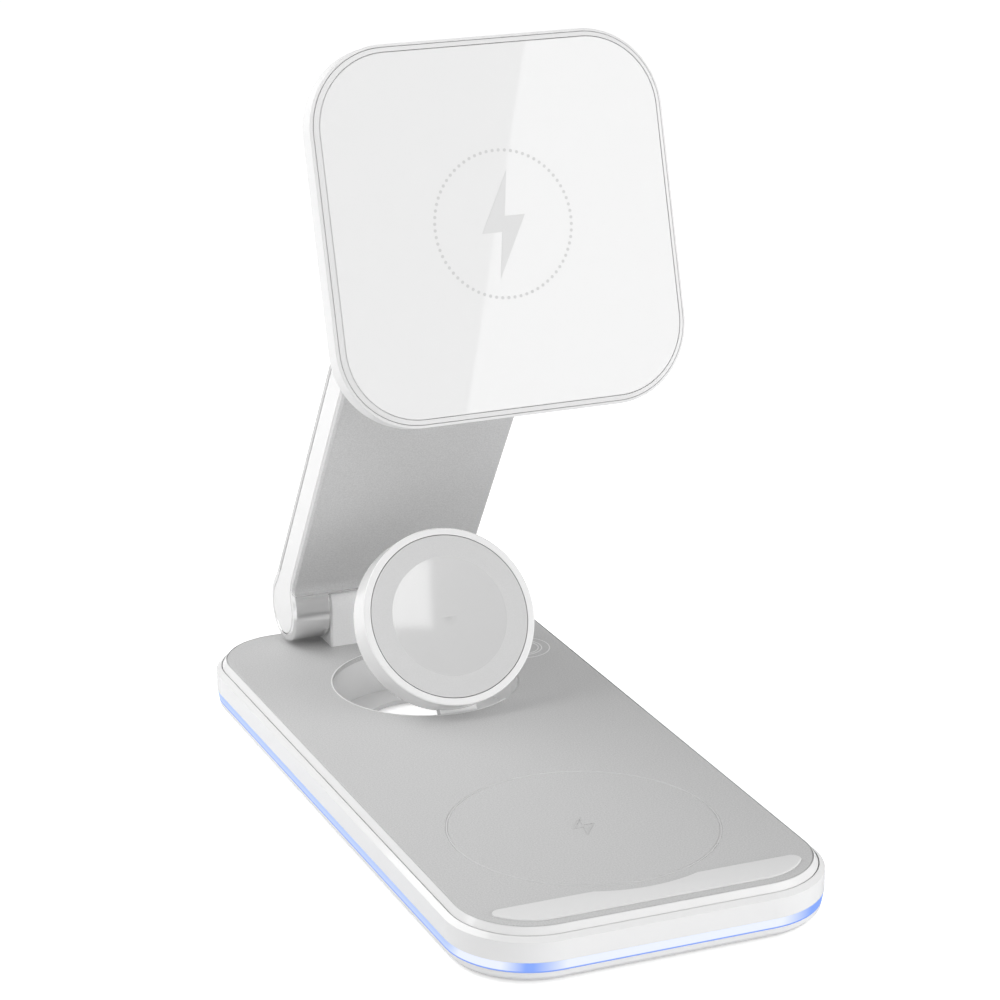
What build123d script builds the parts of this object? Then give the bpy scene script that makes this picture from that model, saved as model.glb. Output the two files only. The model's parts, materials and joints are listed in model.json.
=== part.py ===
from build123d import *
import os
from math import cos, radians, sin

# Three in one wireless charger for a phone, a watch and an earbud case, in millimetres.
# +X is to the right, +Y to the rear and +Z up. The origin is at the middle of the base,
# on the surface that the feet stand on. The pose is the one in use: arm, pad and puck raised.

# Base outline and heights
BASE_WIDTH = 74.4
BASE_LENGTH = 156.8
BASE_CORNER = 16.2
BASE_HEIGHT = 10.2  # underside of the bottom cover to the top of the plate
WALL = 2.4  # side walls of the frame, light strip and cover
DECK = 2.0  # the frame's top, under the plate

# Base edge, from the plate outwards and downwards
PLATE_INSET = 2.2  # base outline to the plate's edge
PLATE_THICK = 1.0
PLATE_FIT = 0.05  # plate to rim
EDGE_BREAK = 0.25  # small chamfer on the plate's cut edges
GROOVE_INSET = 1.16  # base outline to the middle of the groove between rim and frame
GROOVE_WIDTH = 0.2
RIM_DROP = 1.33  # plate's top to the groove
LEDGE_DROP = 2.19  # plate's top to the frame's outer top edge
STRIP_DROP = 6.08  # plate's top to the light strip
STRIP_HEIGHT = 2.08
STRIP_TAPER = 0.35
COVER_FLOOR = 1.0
COVER_TAPER = 0.18
COVER_BEVEL = 1.0  # lower edge of the cover, equal both ways

# Feet and the screws that they hide
FOOT_RISE = 0.6
FOOT_RADIUS = 5.5
FOOT_SEAT = 0.3
FOOT_FROM_SIDE = 12.2  # base's side to a foot's middle
FOOT_FROM_END = 14.4  # base's front or rear end to a foot's middle
FOOT_FIT = 0.1
SCREW_RADIUS = 1.0
SCREW_HEAD_RADIUS = 1.9
SCREW_HEAD = 1.2
SCREW_FIT = 0.2
PILLAR_RADIUS = 3.4
PILLAR_HEIGHT = 1.4
SCREW_GRIP = 3.0  # length of screw in the frame's boss

# Earbud place
EARBUD_FROM_FRONT = 38.12  # base's front end to the ring groove's middle
GROOVE_RING_RADIUS = 25.7
GROOVE_RING_WIDTH = 0.6
GROOVE_RING_DEPTH = 0.2
COIL_OUTER = 20.0
COIL_INNER = 6.0
COIL_THICK = 1.0
FERRITE_OVERHANG = 2.0  # ferrite beyond its coil
FERRITE_THICK = 0.8
COIL_FIT = 0.3

# Silicone strip at the front of the plate
BUMPER_MARGIN = 2.05  # plate's edge to the strip, which follows it
BUMPER_FROM_FRONT = 11.2  # base's front end to the strip's rear side
BUMPER_RISE = 0.35
BUMPER_REAR_CORNER = 1.6
BUMPER_RING_GAP = 2.85  # strip's hollow to the ring groove
BUMPER_SOFTEN = 0.15

# Light board, main board, touch sensor and power socket
BOARD_THICK = 1.2
LIGHT_BOARD_THICK = 0.8
LIGHT_BOARD_HEIGHT = 3.0
LIGHT_BOARD_GAP = 0.2
MAIN_BOARD_WIDTH = 54.0
MAIN_BOARD_GAP = 4.7  # main board to the ferrite before it and the puck's hinge behind it
POST_RADIUS = 2.0
POST_HEIGHT = 2.0
TOUCH_FROM_SIDE = 11.5  # base's right side to the touch mark's middle
TOUCH_BEHIND_HOLE = 9.1  # hole's middle to the touch mark's middle, along the base
TOUCH_RADIUS = 5.6
TOUCH_THICK = 0.8
SOCKET_WIDTH = 8.94
SOCKET_HEIGHT = 3.26
SOCKET_DEPTH = 7.4
SOCKET_CORNER = 1.5
SOCKET_SHEET = 0.3
SOCKET_FIT = 0.12
SOCKET_RECESS = 0.4  # socket's mouth behind the frame's outer face
SOCKET_TONGUE = 0.7
SOCKET_TONGUE_WIDTH = 6.7
SOCKET_BOARD_WIDTH = 13.0
SOCKET_BOARD_LENGTH = 9.0
SOCKET_TOP_GAP = 0.43  # frame's ledge edge to the socket's shell

# Arm with a knuckle at each end
ARM_WIDTH = 40.0
ARM_THICK = 9.2
ARM_FRONT = 2.4  # hinge axes to the arm's front face
ARM_REACH = 111.0  # hinge axis to hinge axis
ARM_LEAN = 32.2  # degrees forward from upright
KNUCKLE_RADIUS = 7.4
KNUCKLE_CLEAR = 0.8  # knuckle to plate
KNUCKLE_BLEND_FRONT = 5.0
KNUCKLE_BLEND_REAR = 20.0
ARM_EDGE = 0.5  # chamfer round the arm's sides
CAP_INSET = 1.5
CAP_THICK = 1.2
CAP_FIT = 0.12
CAP_EDGE = 0.2
HINGE_SETBACK = 0.1  # knuckle's rear to the base's rear end

# Hinge blocks, pins and washers, alike at both ends of the arm
BLOCK_WIDTH = 23.0
BLOCK_SHY = 1.0  # block's round below the knuckle's
BLOCK_EDGE = 0.4
NOTCH_SIDE_GAP = 0.5
NOTCH_END_GAP = 0.5
PIN_RADIUS = 2.5
PIN_FIT = 0.03
PIN_END_GAP = 0.1
WASHER_RADIUS = 5.0
WASHER_THICK = 0.4
HINGE_SCREW_RADIUS = 1.4
HINGE_SCREW_HEAD_RADIUS = 2.5
HINGE_SCREW_HEAD = 1.5
HINGE_SCREW_X = 8.0
HINGE_SCREW_GRIP = 3.6

# Phone pad
PAD_GLASS = 67.75
PAD_GLASS_CORNER = 14.0
PAD_GLASS_THICK = 1.2
PAD_GLASS_GAP = 0.08
PAD_GLASS_EDGE = 0.12
PAD_RIM = 1.0  # glass edge to the pad's groove
PAD_RIM_DROP = 0.67
PAD_RIM_LIP = 1.5  # rim under the glass
PAD_RIM_FLOOR = 0.8
PAD_LEDGE = 0.6  # pad's groove to its widest outline
PAD_LEDGE_DROP = 0.4
PAD_GROOVE_WIDTH = 0.08
PAD_THICK = 6.5
PAD_WALL = 2.4
PAD_BACK = 1.6
PAD_BACK_ROUND = 1.5
PAD_TILT = 73.0  # degrees from level
PAD_CLEAR = 0.6  # knuckle to the pad's back
PAD_COIL_OUTER = 21.0
PAD_COIL_INNER = 9.0
PAD_COIL_THICK = 1.2
MAGNET_COUNT = 16
MAGNET_INNER = 23.5
MAGNET_WIDTH = 4.0
MAGNET_THICK = 1.5
MAGNET_FILL = 0.86  # share of the ring that is magnet
PAD_BOARD_WIDTH = 30.0
PAD_BOARD_LENGTH = 18.0
PAD_BOARD_Y = -20.0
PAD_SCREW_HEAD = 1.2

# Watch puck, its hole and its hinge
PUCK_RADIUS = 18.35
PUCK_THICK = 7.6
PUCK_TILT = 60.0  # degrees from level
PUCK_CLEAR = 0.95  # puck to hole, all round
PUCK_SHIFT = 0.35  # stowed puck behind the hole's middle
PUCK_RISE = 2.7  # hinge axis to the puck's face
PUCK_EDGE = 0.3
PUCK_BACK_ROUND = 1.0
PUCK_BACK = 1.4
FACE_RADIUS = 16.72
FACE_FIT = 0.15
FACE_THICK = 1.4
FACE_SHOULDER = 0.8
DISH_RADIUS = 12.3
DISH_DEPTH = 0.7
PUCK_COIL_OUTER = 12.0
PUCK_COIL_INNER = 5.4
PUCK_COIL_THICK = 1.0
PUCK_MAGNET_RADIUS = 4.8
HOLE_FROM_REAR = 39.1  # base's rear end to the hole's middle
HOLE_WALL = 1.5
LEDGE_OPENING = 12.8  # radius of the opening under the puck
LUG_REACH = 5.15  # hinge axis to the puck's rim
LUG_WIDTH = 8.0
LUG_DROP = 5.0  # the lug dips this far behind the hinge axis to pass under the plate
LUG_SWEEP_GAP = 0.5
LUG_SIDE_GAP = 0.4
LUG_PIN_RADIUS = 0.8
LUG_BARREL_WALL = 0.7
LUG_PIN_LENGTH = 18.0
CLIP_THICK = 1.2
CLIP_WIDTH = 22.0
CLIP_FRONT = 6.0
CLIP_REAR = 1.6

# Heights and places that follow
Z_COVER = FOOT_RISE
Z_FLOOR = Z_COVER + COVER_FLOOR
Z_TOP = Z_COVER + BASE_HEIGHT
Z_DECK_TOP = Z_TOP - PLATE_THICK
Z_DECK = Z_DECK_TOP - DECK
Z_GROOVE = Z_TOP - RIM_DROP
Z_LEDGE = Z_TOP - LEDGE_DROP
Z_STRIP_TOP = Z_TOP - STRIP_DROP
Z_STRIP_LOW = Z_STRIP_TOP - STRIP_HEIGHT
Z_PILLAR = Z_FLOOR + PILLAR_HEIGHT
RIM_OUTER_INSET = GROOVE_INSET + GROOVE_WIDTH / 2
FRAME_TOP_INSET = GROOVE_INSET - GROOVE_WIDTH / 2
REAR_END = BASE_LENGTH / 2
FRONT_END = -REAR_END
SIDE_END = BASE_WIDTH / 2
FOOT_X = SIDE_END - FOOT_FROM_SIDE
FOOT_Y = REAR_END - FOOT_FROM_END
EARBUD_Y = FRONT_END + EARBUD_FROM_FRONT
BUMPER_REAR = FRONT_END + BUMPER_FROM_FRONT
HOLE_Y = REAR_END - HOLE_FROM_REAR
TOUCH_X = SIDE_END - TOUCH_FROM_SIDE
TOUCH_Y = HOLE_Y + TOUCH_BEHIND_HOLE
ARM_AXIS_Y = REAR_END - HINGE_SETBACK - KNUCKLE_RADIUS
ARM_AXIS_Z = Z_TOP + KNUCKLE_CLEAR + KNUCKLE_RADIUS
BLOCK_ROUND = KNUCKLE_RADIUS - BLOCK_SHY
NOTCH_WIDTH = BLOCK_WIDTH + 2 * NOTCH_SIDE_GAP
NOTCH_END = BLOCK_ROUND + NOTCH_END_GAP
PIN_LENGTH = ARM_WIDTH - 2 * (CAP_THICK + PIN_END_GAP)
PAD_STANDOFF = KNUCKLE_RADIUS + PAD_CLEAR
PAD_GROOVE_INSET = PAD_LEDGE
HOLE_RADIUS = PUCK_RADIUS + PUCK_CLEAR
PUCK_REACH = PUCK_RADIUS + LUG_REACH
PUCK_AXIS_Y = HOLE_Y + PUCK_SHIFT - PUCK_REACH
PUCK_AXIS_Z = Z_TOP - PUCK_RISE
LUG_BARREL = LUG_PIN_RADIUS + LUG_BARREL_WALL
LUG_SLOT = LUG_WIDTH + 2 * LUG_SIDE_GAP
LUG_SLOT_FRONT = PUCK_AXIS_Y - LUG_BARREL - LUG_SWEEP_GAP
MAIN_BOARD_FRONT = EARBUD_Y + COIL_OUTER + FERRITE_OVERHANG + MAIN_BOARD_GAP
MAIN_BOARD_REAR = LUG_SLOT_FRONT - MAIN_BOARD_GAP
MAIN_BOARD_LENGTH = MAIN_BOARD_REAR - MAIN_BOARD_FRONT
MAIN_BOARD_Y = (MAIN_BOARD_FRONT + MAIN_BOARD_REAR) / 2
SOCKET_Z = Z_LEDGE - SOCKET_TOP_GAP - SOCKET_HEIGHT / 2

# Frames of the power socket, and of the arm, pad and puck at rest
SOCKET_PLANE = Plane(origin=(0, REAR_END, SOCKET_Z), x_dir=(1, 0, 0), z_dir=(0, -1, 0))
ARM_AXIS = (0, -sin(radians(ARM_LEAN)), cos(radians(ARM_LEAN)))
ARM_PLANE = Plane(origin=(0, ARM_AXIS_Y, ARM_AXIS_Z), x_dir=ARM_AXIS, z_dir=(1, 0, 0))
PAD_NORMAL = (0, -sin(radians(PAD_TILT)), cos(radians(PAD_TILT)))
PUCK_NORMAL = (0, -sin(radians(PUCK_TILT)), cos(radians(PUCK_TILT)))
PUCK_UP = (0, cos(radians(PUCK_TILT)), sin(radians(PUCK_TILT)))
PAD_AXIS_POINT = ARM_PLANE.origin + Vector(*ARM_AXIS) * ARM_REACH
PAD_CENTRE = PAD_AXIS_POINT + Vector(*PAD_NORMAL) * (PAD_STANDOFF + PAD_THICK)
PAD_PLANE = Plane(origin=PAD_CENTRE, x_dir=(1, 0, 0), z_dir=PAD_NORMAL)
PUCK_AXIS_POINT = Vector(0, PUCK_AXIS_Y, PUCK_AXIS_Z)
PUCK_CENTRE = PUCK_AXIS_POINT + Vector(*PUCK_UP) * PUCK_REACH + Vector(*PUCK_NORMAL) * PUCK_RISE
PUCK_PLANE = Plane(origin=PUCK_CENTRE, x_dir=(1, 0, 0), z_dir=PUCK_NORMAL)


def base_outline(inset):
    """The base's outline, moved inwards."""
    return RectangleRounded(BASE_WIDTH - 2 * inset, BASE_LENGTH - 2 * inset, BASE_CORNER - inset)


def base_slab(inset, low, high):
    """A level slab with the base's outline."""
    return Pos(0, 0, low) * extrude(base_outline(inset), high - low)


def base_taper(low_inset, low, high_inset, high):
    """A slab whose outline changes evenly from its lower to its upper face."""
    return loft([Pos(0, 0, low) * base_outline(low_inset), Pos(0, 0, high) * base_outline(high_inset)])


def pad_outline(inset):
    """The pad's widest outline, moved inwards."""
    size = PAD_GLASS + 2 * (PAD_RIM + PAD_LEDGE - inset)
    return RectangleRounded(size, size, PAD_GLASS_CORNER + PAD_RIM + PAD_LEDGE - inset)


def pad_slab(inset, low, high):
    """A slab with the pad's outline, heights counted from the glass face."""
    return Pos(0, 0, low) * extrude(pad_outline(inset), high - low)


def disc(radius, low, high, x=0, y=0):
    """An upright cylinder between two heights."""
    return Pos(x, y, low) * extrude(Circle(radius), high - low)


def block(width, length, low, high, x=0, y=0):
    """An upright box between two heights."""
    return Pos(x, y, low) * extrude(Rectangle(width, length), high - low)


def cross_pin(radius, length, y, z):
    """A cylinder along X."""
    return Plane(origin=(-length / 2, y, z), z_dir=(1, 0, 0)).location * extrude(Circle(radius), length)


def foot_places():
    """The four corners that hold a foot and a cover screw."""
    return [(sx * FOOT_X, sy * FOOT_Y) for sx in (-1, 1) for sy in (-1, 1)]


def post_places():
    """The four posts that carry the main board."""
    half_x = MAIN_BOARD_WIDTH / 2 - POST_RADIUS
    half_y = MAIN_BOARD_LENGTH / 2 - POST_RADIUS
    return [(sx * half_x, MAIN_BOARD_Y + sy * half_y) for sx in (-1, 1) for sy in (-1, 1)]


def base_parts():
    """Frame, covers and trim of the base."""
    plate = base_slab(PLATE_INSET, Z_DECK_TOP, Z_TOP) - disc(HOLE_RADIUS, Z_DECK_TOP, Z_TOP, y=HOLE_Y)
    cut_edges = plate.edges().group_by(Axis.Z)[-1]
    plate = chamfer(cut_edges, EDGE_BREAK)
    half = GROOVE_RING_WIDTH / 2
    notch = Polyline((-half, 0), (half, 0), (0, -GROOVE_RING_DEPTH), close=True)
    ring = revolve(Plane.XZ * Pos(GROOVE_RING_RADIUS, 0) * make_face(notch), Axis.Z)
    plate -= Pos(0, EARBUD_Y, Z_TOP) * ring
    block_front = ARM_AXIS_Y - BLOCK_ROUND
    window_length = 2 * (REAR_END - block_front)
    plate -= block(BLOCK_WIDTH, window_length, Z_DECK_TOP, Z_TOP, y=REAR_END)

    rim = base_slab(RIM_OUTER_INSET, Z_LEDGE, Z_GROOVE)
    rim += base_taper(RIM_OUTER_INSET, Z_GROOVE, PLATE_INSET - PLATE_FIT, Z_TOP)
    rim -= base_slab(PLATE_INSET - PLATE_FIT, Z_LEDGE, Z_TOP)

    frame = base_slab(0, Z_STRIP_TOP, Z_LEDGE) + base_taper(0, Z_LEDGE, FRAME_TOP_INSET, Z_GROOVE)
    frame -= base_slab(FRAME_TOP_INSET, Z_LEDGE, Z_GROOVE)
    frame += base_slab(WALL, Z_DECK, Z_DECK_TOP)
    frame -= base_slab(WALL, Z_STRIP_TOP, Z_DECK)
    frame += disc(HOLE_RADIUS + HOLE_WALL, Z_FLOOR, Z_DECK, y=HOLE_Y)
    frame -= disc(HOLE_RADIUS, Z_FLOOR, Z_DECK_TOP, y=HOLE_Y)
    for x, y in foot_places():
        frame += disc(PILLAR_RADIUS, Z_PILLAR, Z_DECK, x, y)
        frame -= disc(SCREW_RADIUS, Z_PILLAR, Z_PILLAR + SCREW_GRIP, x, y)
    frame -= disc(COIL_OUTER + COIL_FIT, Z_DECK, Z_DECK + COIL_THICK, y=EARBUD_Y)
    frame -= disc(TOUCH_RADIUS + COIL_FIT, Z_DECK, Z_DECK + TOUCH_THICK, TOUCH_X, TOUCH_Y)
    slot_low = PUCK_AXIS_Z - LUG_DROP - LUG_SWEEP_GAP
    slot_length = HOLE_Y - LUG_SLOT_FRONT
    frame -= block(LUG_SLOT, slot_length, slot_low, Z_DECK_TOP, y=LUG_SLOT_FRONT + slot_length / 2)
    frame -= cross_pin(LUG_PIN_RADIUS + PIN_FIT, LUG_PIN_LENGTH + 2 * PIN_END_GAP, PUCK_AXIS_Y, PUCK_AXIS_Z)
    mouth = RectangleRounded(SOCKET_WIDTH + 2 * SOCKET_FIT, SOCKET_HEIGHT + 2 * SOCKET_FIT, SOCKET_CORNER)
    socket_room = SOCKET_DEPTH + SOCKET_RECESS + SOCKET_FIT
    frame -= SOCKET_PLANE.location * extrude(mouth, socket_room)
    for side in (-1, 1):
        frame -= disc(HINGE_SCREW_RADIUS + PIN_FIT, Z_DECK, Z_DECK_TOP, side * HINGE_SCREW_X, ARM_AXIS_Y)

    strip = base_taper(STRIP_TAPER, Z_STRIP_LOW, 0, Z_STRIP_TOP) - base_slab(WALL, Z_STRIP_LOW, Z_STRIP_TOP)

    edge_inset = STRIP_TAPER + COVER_TAPER
    cover = base_taper(edge_inset, Z_COVER + COVER_BEVEL, STRIP_TAPER, Z_STRIP_LOW)
    cover += base_taper(edge_inset + COVER_BEVEL, Z_COVER, edge_inset, Z_COVER + COVER_BEVEL)
    cover -= base_slab(WALL, Z_FLOOR, Z_STRIP_LOW)
    for x, y in foot_places():
        cover += disc(PILLAR_RADIUS, Z_FLOOR, Z_PILLAR, x, y)
        cover -= disc(FOOT_RADIUS + FOOT_FIT, Z_COVER, Z_COVER + FOOT_SEAT, x, y)
        cover -= disc(SCREW_HEAD_RADIUS + SCREW_FIT, Z_COVER, Z_COVER + FOOT_SEAT + SCREW_HEAD, x, y)
        cover -= disc(SCREW_RADIUS + SCREW_FIT, Z_COVER, Z_PILLAR, x, y)
    for x, y in post_places():
        cover += disc(POST_RADIUS, Z_FLOOR, Z_FLOOR + POST_HEIGHT, x, y)
    board_low = SOCKET_Z - SOCKET_HEIGHT / 2 - BOARD_THICK
    rest_y = REAR_END - WALL - LIGHT_BOARD_GAP - LIGHT_BOARD_THICK - SOCKET_BOARD_LENGTH / 2
    cover += block(SOCKET_BOARD_WIDTH, SOCKET_BOARD_LENGTH / 2, Z_FLOOR, board_low, y=rest_y)
    cover -= disc(LEDGE_OPENING, Z_COVER, Z_FLOOR, y=HOLE_Y)

    shape = base_outline(PLATE_INSET + BUMPER_MARGIN)
    shape -= Pos(0, BUMPER_REAR + BASE_LENGTH / 2) * Rectangle(BASE_WIDTH, BASE_LENGTH)
    rear_corners = shape.vertices().group_by(Axis.Y)[-1]
    shape = fillet(rear_corners, BUMPER_REAR_CORNER)
    hollow = GROOVE_RING_RADIUS + GROOVE_RING_WIDTH / 2 + BUMPER_RING_GAP
    shape -= Pos(0, EARBUD_Y) * Circle(hollow)
    bumper = Pos(0, 0, Z_TOP) * extrude(shape, BUMPER_RISE)
    bumper = chamfer(bumper.edges().group_by(Axis.Z)[-1], BUMPER_SOFTEN)

    foot = disc(FOOT_RADIUS, 0, FOOT_RISE + FOOT_SEAT)
    foot = chamfer(foot.edges().group_by(Axis.Z)[0], FOOT_SEAT)
    feet = Compound([Pos(x, y, 0) * foot for x, y in foot_places()])
    head_low = Z_COVER + FOOT_SEAT
    screw = disc(SCREW_HEAD_RADIUS, head_low, head_low + SCREW_HEAD)
    screw += disc(SCREW_RADIUS - PIN_FIT, head_low + SCREW_HEAD, Z_PILLAR + SCREW_GRIP)
    screws = Compound([Pos(x, y, 0) * screw for x, y in foot_places()])
    return {
        "top_plate": plate,
        "top_rim": rim,
        "base_frame": frame,
        "light_strip": strip,
        "bottom_cover": cover,
        "bumper_strip": bumper,
        "rubber_feet": feet,
        "cover_screws": screws,
    }


def base_inner_parts():
    """Coils, boards and the power socket inside the base."""
    coil = disc(COIL_OUTER, Z_DECK, Z_DECK + COIL_THICK, y=EARBUD_Y)
    coil -= disc(COIL_INNER, Z_DECK, Z_DECK + COIL_THICK, y=EARBUD_Y)
    ferrite = disc(COIL_OUTER + FERRITE_OVERHANG, Z_DECK - FERRITE_THICK, Z_DECK, y=EARBUD_Y)
    touch = disc(TOUCH_RADIUS, Z_DECK, Z_DECK + TOUCH_THICK, TOUCH_X, TOUCH_Y)

    board_inset = WALL + LIGHT_BOARD_GAP
    light_top = Z_FLOOR + LIGHT_BOARD_HEIGHT
    light = base_slab(board_inset, Z_FLOOR, light_top)
    light -= base_slab(board_inset + LIGHT_BOARD_THICK, Z_FLOOR, light_top)

    board_low = Z_FLOOR + POST_HEIGHT
    board_top = board_low + BOARD_THICK
    board = block(MAIN_BOARD_WIDTH, MAIN_BOARD_LENGTH, board_low, board_top, y=MAIN_BOARD_Y)
    chip_size = MAIN_BOARD_LENGTH / 3
    for place in (-1, 0, 1):
        x = place * MAIN_BOARD_WIDTH / 3
        board += block(chip_size, chip_size, board_top, board_top + BOARD_THICK, x, MAIN_BOARD_Y)

    shell = RectangleRounded(SOCKET_WIDTH, SOCKET_HEIGHT, SOCKET_CORNER)
    bore = RectangleRounded(
        SOCKET_WIDTH - 2 * SOCKET_SHEET, SOCKET_HEIGHT - 2 * SOCKET_SHEET, SOCKET_CORNER - SOCKET_SHEET
    )
    mouth = SOCKET_PLANE.location * Pos(0, 0, SOCKET_RECESS)
    bore_depth = SOCKET_DEPTH - SOCKET_SHEET
    socket = mouth * extrude(shell, SOCKET_DEPTH) - mouth * extrude(bore, bore_depth)
    tongue = Pos(0, 0, SOCKET_RECESS) * extrude(Rectangle(SOCKET_TONGUE_WIDTH, SOCKET_TONGUE), bore_depth)
    socket += mouth * tongue

    card_top = SOCKET_Z - SOCKET_HEIGHT / 2
    card_rear = REAR_END - board_inset - LIGHT_BOARD_THICK - LIGHT_BOARD_GAP
    card_y = card_rear - SOCKET_BOARD_LENGTH / 2
    card = block(SOCKET_BOARD_WIDTH, SOCKET_BOARD_LENGTH, card_top - BOARD_THICK, card_top, y=card_y)
    return {
        "earbud_coil": coil,
        "earbud_ferrite": ferrite,
        "touch_sensor": touch,
        "light_board": light,
        "main_board": board,
        "power_socket": socket,
        "socket_board": card,
    }


def hinge_pin(y, z):
    """A hinge pin along X, the same at both ends of the arm."""
    return cross_pin(PIN_RADIUS, PIN_LENGTH, y, z)


def hinge_washers(y, z):
    """Two friction washers, one on each side of a hinge block."""
    ring = Circle(WASHER_RADIUS) - Circle(PIN_RADIUS + PIN_FIT)
    washers = []
    for side in (-1, 1):
        face = Plane(origin=(side * BLOCK_WIDTH / 2, y, z), z_dir=(side, 0, 0))
        washers.append(face.location * extrude(ring, WASHER_THICK))
    return Compound(washers)


def base_hinge_parts():
    """Block, pin, washers and screws of the hinge at the rear of the base."""
    foot_rear = REAR_END - WALL
    axis_drop = ARM_AXIS_Z - Z_DECK_TOP
    side = Plane(origin=(-BLOCK_WIDTH / 2, ARM_AXIS_Y, ARM_AXIS_Z), x_dir=(0, 1, 0), z_dir=(1, 0, 0))
    profile = Circle(BLOCK_ROUND) + Pos(0, -axis_drop / 2) * Rectangle(2 * BLOCK_ROUND, axis_drop)
    profile -= Pos(foot_rear - ARM_AXIS_Y + BLOCK_ROUND, 0) * Rectangle(2 * BLOCK_ROUND, 4 * KNUCKLE_RADIUS)
    body = side.location * extrude(profile, BLOCK_WIDTH)
    side_edges = body.edges().group_by(Axis.X)
    body = chamfer(side_edges[0] + side_edges[-1], BLOCK_EDGE)
    body -= cross_pin(PIN_RADIUS + PIN_FIT, BLOCK_WIDTH, ARM_AXIS_Y, ARM_AXIS_Z)
    screw = disc(HINGE_SCREW_RADIUS, Z_DECK, Z_DECK_TOP + HINGE_SCREW_GRIP)
    screw += disc(HINGE_SCREW_HEAD_RADIUS, Z_DECK - HINGE_SCREW_HEAD, Z_DECK)
    screws = []
    for hand in (-1, 1):
        x = hand * HINGE_SCREW_X
        body -= disc(HINGE_SCREW_RADIUS + PIN_FIT, Z_DECK_TOP, Z_DECK_TOP + HINGE_SCREW_GRIP, x, ARM_AXIS_Y)
        screws.append(Pos(x, ARM_AXIS_Y, 0) * screw)
    return {
        "hinge_block": body,
        "arm_hinge_pin": hinge_pin(ARM_AXIS_Y, ARM_AXIS_Z),
        "arm_hinge_washers": hinge_washers(ARM_AXIS_Y, ARM_AXIS_Z),
        "hinge_screws": Compound(screws),
    }


def arm_profile():
    """Side view of the arm: a straight bar between two knuckles, with soft blends."""
    bar_middle = ARM_FRONT - ARM_THICK / 2
    profile = Pos(ARM_REACH / 2, bar_middle) * Rectangle(ARM_REACH, ARM_THICK)
    profile += Circle(KNUCKLE_RADIUS)
    profile += Pos(ARM_REACH, 0) * Circle(KNUCKLE_RADIUS)
    inner = profile.vertices().filter_by(lambda v: 0 < v.X < ARM_REACH)
    front = [v for v in inner if v.Y > 0]
    profile = fillet(front, KNUCKLE_BLEND_FRONT)
    inner = profile.vertices().filter_by(lambda v: 0 < v.X < ARM_REACH)
    rear = [v for v in inner if v.Y < 0]
    return fillet(rear, KNUCKLE_BLEND_REAR)


def arm_parts():
    """The metal arm and its two side caps."""
    profile = arm_profile()
    half = ARM_WIDTH / 2
    body = extrude(profile, half, both=True)
    ends = body.faces().group_by(Axis.Z)
    rims = ends[0].edges() + ends[-1].edges()
    body = chamfer(rims, ARM_EDGE)
    seat = offset(profile, -CAP_INSET)
    lid = offset(profile, -CAP_INSET - CAP_FIT)
    caps = {}
    for name, side in (("arm_cap_left", -1), ("arm_cap_right", 1)):
        floor = side * (half - CAP_THICK)
        body -= Pos(0, 0, floor) * extrude(seat, side * CAP_THICK)
        cap = Pos(0, 0, floor) * extrude(lid, side * CAP_THICK)
        outer = cap.faces().sort_by(Axis.Z)[-1 if side > 0 else 0]
        cap = chamfer(outer.edges(), CAP_EDGE)
        caps[name] = ARM_PLANE.location * cap
    for u, away in ((0, -1), (ARM_REACH, 1)):
        reach = NOTCH_END + KNUCKLE_RADIUS
        room = Pos(u + away * (reach / 2 - NOTCH_END), 0) * Rectangle(reach, 4 * KNUCKLE_RADIUS)
        body -= extrude(room, NOTCH_WIDTH / 2, both=True)
        body -= Pos(u, 0) * extrude(Circle(PIN_RADIUS + PIN_FIT), half, both=True)
    return {"arm_frame": ARM_PLANE.location * body, **caps}


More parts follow.
